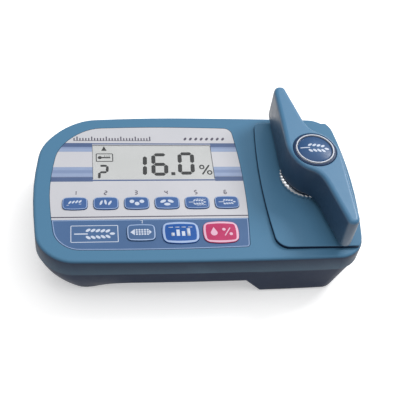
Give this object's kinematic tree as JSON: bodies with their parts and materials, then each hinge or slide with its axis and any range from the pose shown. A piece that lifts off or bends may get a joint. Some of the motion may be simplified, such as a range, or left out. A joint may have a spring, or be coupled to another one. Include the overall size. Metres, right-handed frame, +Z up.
{
  "type": "grain moisture meter",
  "caption": "Bench-top grain moisture meter: bowed two-shell case, membrane keypad with display, and a winged handle that screws a crushing press down onto a pull-out sample dish.",
  "frame": {"origin": "on the table under the middle of the case", "axes": "+X to the right (press end), +Y away from the user, +Z up"},
  "size_m": [0.2174, 0.127, 0.072],
  "materials": {
    "case_abs": "moulded ABS with a fine satin texture",
    "handle_abs": "moulded ABS, satin",
    "label_film": "printed polyester film, satin",
    "clear_pane": "clear acrylic",
    "display": "liquid crystal cell, grey green",
    "black_plastic": "moulded black plastic",
    "board": "green solder mask on glass fibre",
    "steel": "turned steel",
    "lead": "PVC wire insulation",
    "iron": "cast iron, machined on its faces",
    "brass": "turned brass",
    "bright_chrome": "bright chrome plate",
    "insulator": "glass-filled nylon",
    "badge_enamel": "domed clear resin over blue print",
    "dish_plastic": "black glass-filled nylon",
    "cell_jacket": "printed shrink sleeve",
    "rubber": "matt rubber",
    "key_film": "embossed printed film",
    "band_key_film": "embossed printed film",
    "average_key_film": "embossed printed film",
    "measure_key_film": "embossed printed film"
  },
  "bodies": {
    "case": {"top_case": "case_abs", "bottom_case": "case_abs", "keypad_overlay": "label_film", "lcd_window": "clear_pane", "lcd_glass": "display", "lcd_frame": "black_plastic", "main_board": "board", "buzzer": "black_plastic", "battery_holder": "black_plastic", "battery_contact_front": "steel", "battery_contact_back": "steel", "battery_lead": "lead", "electrode_lead": "lead", "press_base": "iron", "press_pillar_front": "iron", "press_pillar_back": "iron", "press_bridge": "iron", "spindle_bush": "brass", "collar_ring": "bright_chrome", "electrode_insulator": "insulator", "lower_electrode": "brass", "temperature_sensor": "steel", "battery_cell_1": "cell_jacket", "battery_cell_2": "cell_jacket", "battery_cell_3": "cell_jacket", "battery_cell_4": "cell_jacket", "pillar_bolt_1": "steel", "pillar_bolt_2": "steel", "pillar_bolt_3": "steel", "pillar_bolt_4": "steel", "case_screw_1": "steel", "case_screw_2": "steel", "case_screw_3": "steel", "case_screw_4": "steel", "rubber_foot_1": "rubber", "rubber_foot_2": "rubber", "rubber_foot_3": "rubber", "rubber_foot_4": "rubber"},
    "press_ram": {"crush_head": "steel", "head_insulator": "insulator", "thrust_washer": "brass"},
    "turn_handle": {"handle": "handle_abs", "handle_screw": "steel", "badge_ring": "bright_chrome", "handle_badge": "badge_enamel", "spindle": "steel"},
    "dish_drawer": {"sample_dish": "dish_plastic", "dish_insert": "steel"},
    "battery_cover": {"battery_door": "case_abs"},
    "grain_key_1_press": {"grain_key_1": "key_film"},
    "grain_key_2_press": {"grain_key_2": "key_film"},
    "grain_key_3_press": {"grain_key_3": "key_film"},
    "grain_key_4_press": {"grain_key_4": "key_film"},
    "grain_key_5_press": {"grain_key_5": "key_film"},
    "grain_key_6_press": {"grain_key_6": "key_film"},
    "grain_key_7_press": {"grain_key_7": "band_key_film"},
    "average_key_press": {"average_key": "average_key_film"},
    "measure_key_press": {"measure_key": "measure_key_film"}
  },
  "joints": [
    {"name": "press_slide", "type": "slide", "parent": "case", "child": "press_ram", "axis": [0, 0, 1], "range_m": [0, 0.0062]},
    {"name": "handle_turn", "type": "hinge", "parent": "press_ram", "child": "turn_handle", "pos_m": [0.0755, 0.002, 0.0445], "axis": [0, 0, 1], "range_deg": [0, 540]},
    {"name": "dish_slide", "type": "slide", "parent": "case", "child": "dish_drawer", "axis": [1, 0, 0], "range_m": [0, 0.044]},
    {"name": "battery_door_hinge", "type": "hinge", "parent": "case", "child": "battery_cover", "pos_m": [-0.0175, 0.0129, 0.014], "axis": [1, 0, 0], "range_deg": [0, 100]},
    {"name": "grain_key_1_travel", "type": "slide", "parent": "case", "child": "grain_key_1_press", "axis": [0, 0, -1], "range_m": [0, 0.0004], "stiffness_N_per_m": 800},
    {"name": "grain_key_2_travel", "type": "slide", "parent": "case", "child": "grain_key_2_press", "axis": [0, 0, -1], "range_m": [0, 0.0004], "stiffness_N_per_m": 800},
    {"name": "grain_key_3_travel", "type": "slide", "parent": "case", "child": "grain_key_3_press", "axis": [0, 0, -1], "range_m": [0, 0.0004], "stiffness_N_per_m": 800},
    {"name": "grain_key_4_travel", "type": "slide", "parent": "case", "child": "grain_key_4_press", "axis": [0, 0, -1], "range_m": [0, 0.0004], "stiffness_N_per_m": 800},
    {"name": "grain_key_5_travel", "type": "slide", "parent": "case", "child": "grain_key_5_press", "axis": [0, 0, -1], "range_m": [0, 0.0004], "stiffness_N_per_m": 800},
    {"name": "grain_key_6_travel", "type": "slide", "parent": "case", "child": "grain_key_6_press", "axis": [0, 0, -1], "range_m": [0, 0.0004], "stiffness_N_per_m": 800},
    {"name": "grain_key_7_travel", "type": "slide", "parent": "case", "child": "grain_key_7_press", "axis": [0, 0, -1], "range_m": [0, 0.0004], "stiffness_N_per_m": 800},
    {"name": "average_key_travel", "type": "slide", "parent": "case", "child": "average_key_press", "axis": [0, 0, -1], "range_m": [0, 0.0004], "stiffness_N_per_m": 800},
    {"name": "measure_key_travel", "type": "slide", "parent": "case", "child": "measure_key_press", "axis": [0, 0, -1], "range_m": [0, 0.0004], "stiffness_N_per_m": 800}
  ],
  "couplings": [
    {"joint": "press_slide", "follows": "handle_turn", "m_per_rad": 0.00063662}
  ]
}
